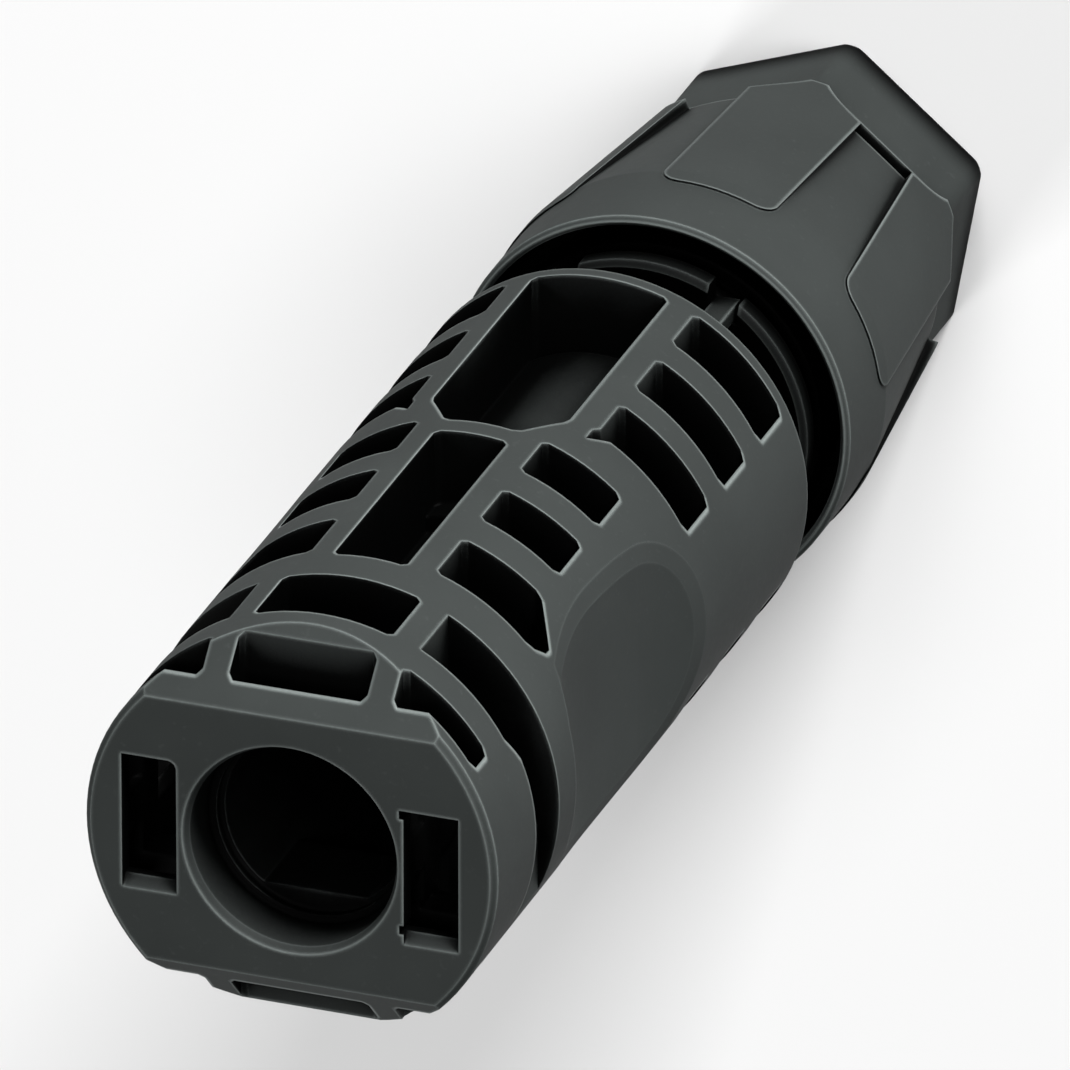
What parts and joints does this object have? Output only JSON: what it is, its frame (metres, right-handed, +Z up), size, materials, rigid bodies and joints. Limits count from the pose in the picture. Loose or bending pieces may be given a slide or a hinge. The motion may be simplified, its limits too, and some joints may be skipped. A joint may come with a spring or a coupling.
{
  "type": "solar panel connector",
  "caption": "Pin-side solar cable connector with a ribbed round housing, latch windows, recessed contact pin and a hexagonal union nut for the cable.",
  "frame": {"origin": "on the connector's axis, in the plane of the nut's rear face that it stands on", "axes": "+Z up along the connector from the nut, which it stands on, to the mating face; -Y out through one of the two ramps; the latch windows are at -X and +X"},
  "size_m": [0.0204, 0.0204, 0.0736],
  "materials": {
    "housing": "fine moulded texture",
    "insert_body": "fine moulded texture",
    "insert_seal": "smooth",
    "contact_pin": "tin plated",
    "pin_tip_cap": "smooth",
    "current_bar": "tin plated",
    "clamp_spring": "spring steel strip",
    "clamping_cage": "smooth",
    "cable_seal": "smooth",
    "thrust_ring": "smooth",
    "union_nut": "fine moulded texture"
  },
  "bodies": {
    "connector": {"housing": "housing", "insert_body": "insert_body", "insert_seal": "insert_seal", "contact_pin": "contact_pin", "pin_tip_cap": "pin_tip_cap", "current_bar": "current_bar", "clamp_spring": "clamp_spring", "clamping_cage": "clamping_cage", "cable_seal": "cable_seal"},
    "slip_ring": {"thrust_ring": "thrust_ring"},
    "nut": {"union_nut": "union_nut"}
  },
  "joints": [
    {"name": "nut_travel", "type": "slide", "parent": "connector", "child": "slip_ring", "axis": [0, 0, 1], "range_m": [0, 0.005]},
    {"name": "nut_turn", "type": "hinge", "parent": "slip_ring", "child": "nut", "pos_m": [0, 0, 0.012], "axis": [0, 0, 1], "range_deg": [0, 720]}
  ],
  "couplings": [
    {"joint": "nut_turn", "follows": "nut_travel", "rad_per_m": 2513.3}
  ]
}
